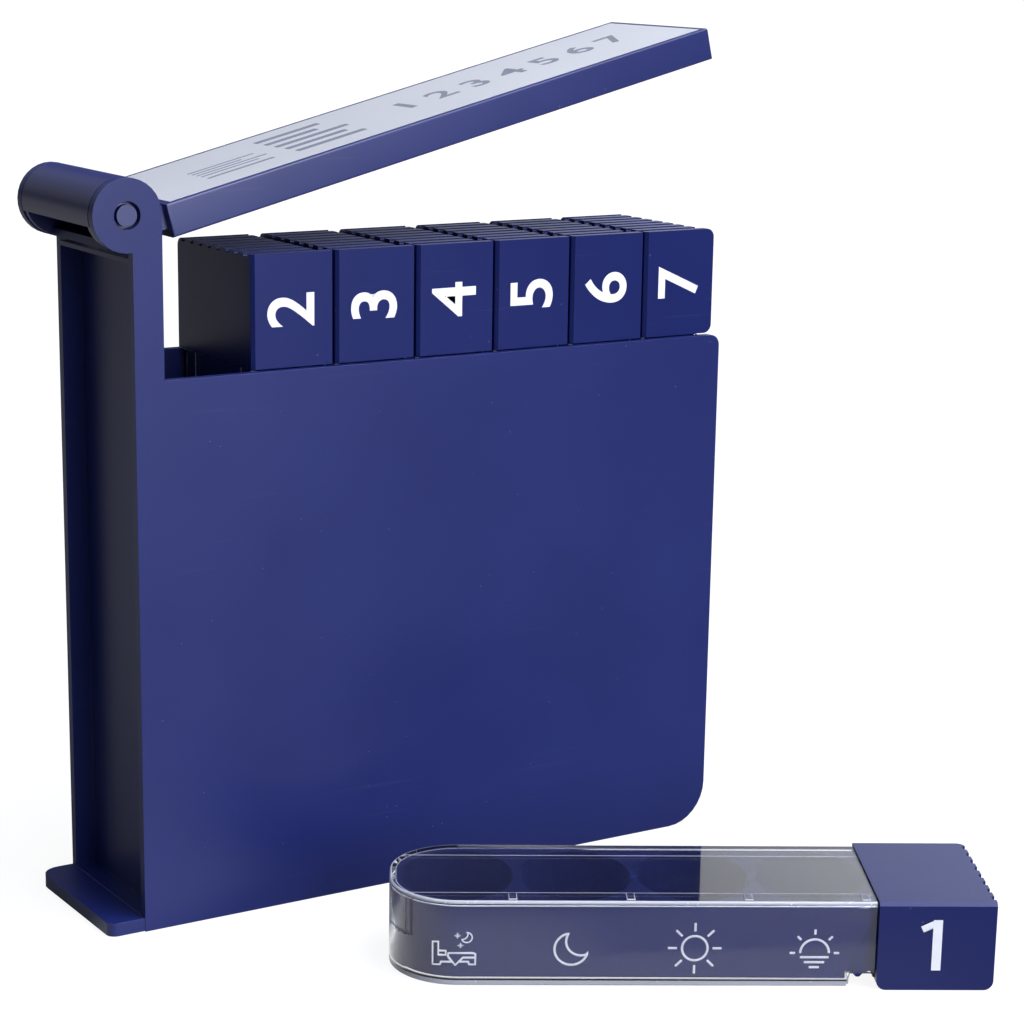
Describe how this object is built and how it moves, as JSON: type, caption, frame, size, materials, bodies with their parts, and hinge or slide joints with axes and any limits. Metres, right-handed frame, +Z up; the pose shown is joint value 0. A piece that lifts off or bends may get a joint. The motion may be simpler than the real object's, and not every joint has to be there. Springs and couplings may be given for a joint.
{
  "type": "weekly pill organizer",
  "caption": "Upright pill case with a lid hinged on its tall side over lift-out day trays, each with a ridged cap, oval pockets and a clear sliding cover.",
  "frame": {"origin": "middle of the case's flat underside, at table height", "axes": "+X along the case's width, from the hinge to the lid's free end; +Y from the front panel to the back panel; +Z up"},
  "size_m": [0.163, 0.155, 0.1889],
  "materials": {
    "navy": "fine satin, moulded",
    "clear": "clear, moulded",
    "label": "satin film"
  },
  "bodies": {
    "case": {"case": "navy", "tray_monday": "navy"},
    "lid": {"lid": "navy", "lid_label": "label"},
    "cover_monday": {"cover_monday": "clear"},
    "cover_tuesday": {"cover_tuesday": "clear"},
    "tray_tuesday": {"tray_tuesday": "navy"},
    "cover_wednesday": {"cover_wednesday": "clear"},
    "tray_wednesday": {"tray_wednesday": "navy"},
    "cover_thursday": {"cover_thursday": "clear"},
    "tray_thursday": {"tray_thursday": "navy"},
    "cover_friday": {"cover_friday": "clear"},
    "tray_friday": {"tray_friday": "navy"},
    "cover_saturday": {"cover_saturday": "clear"},
    "tray_saturday": {"tray_saturday": "navy"},
    "cover_sunday": {"cover_sunday": "clear"},
    "tray_sunday": {"tray_sunday": "navy"}
  },
  "joints": [
    {"name": "lid_hinge", "type": "hinge", "parent": "case", "child": "lid", "pos_m": [-0.0749, 0, 0.1532], "axis": [0, -1, 0], "range_deg": [-14.2, 85.8]},
    {"name": "slide_monday", "type": "slide", "parent": "case", "child": "cover_monday", "axis": [-0.8634, 0.5045, 0], "range_m": [0, 0.05]},
    {"name": "lift_tuesday", "type": "slide", "parent": "case", "child": "tray_tuesday", "axis": [0, 0, 1], "range_m": [0, 0.0135]},
    {"name": "slide_tuesday", "type": "slide", "parent": "tray_tuesday", "child": "cover_tuesday", "axis": [0, 0, -1], "range_m": [0, 0.0155]},
    {"name": "lift_wednesday", "type": "slide", "parent": "case", "child": "tray_wednesday", "axis": [0, 0, 1], "range_m": [0, 0.0185]},
    {"name": "slide_wednesday", "type": "slide", "parent": "tray_wednesday", "child": "cover_wednesday", "axis": [0, 0, -1], "range_m": [0, 0.0155]},
    {"name": "lift_thursday", "type": "slide", "parent": "case", "child": "tray_thursday", "axis": [0, 0, 1], "range_m": [0, 0.0235]},
    {"name": "slide_thursday", "type": "slide", "parent": "tray_thursday", "child": "cover_thursday", "axis": [0, 0, -1], "range_m": [0, 0.0155]},
    {"name": "lift_friday", "type": "slide", "parent": "case", "child": "tray_friday", "axis": [0, 0, 1], "range_m": [0, 0.0285]},
    {"name": "slide_friday", "type": "slide", "parent": "tray_friday", "child": "cover_friday", "axis": [0, 0, -1], "range_m": [0, 0.0155]},
    {"name": "lift_saturday", "type": "slide", "parent": "case", "child": "tray_saturday", "axis": [0, 0, 1], "range_m": [0, 0.0335]},
    {"name": "slide_saturday", "type": "slide", "parent": "tray_saturday", "child": "cover_saturday", "axis": [0, 0, -1], "range_m": [0, 0.0155]},
    {"name": "lift_sunday", "type": "slide", "parent": "case", "child": "tray_sunday", "axis": [0, 0, 1], "range_m": [0, 0.0375]},
    {"name": "slide_sunday", "type": "slide", "parent": "tray_sunday", "child": "cover_sunday", "axis": [0, 0, -1], "range_m": [0, 0.012]}
  ]
}
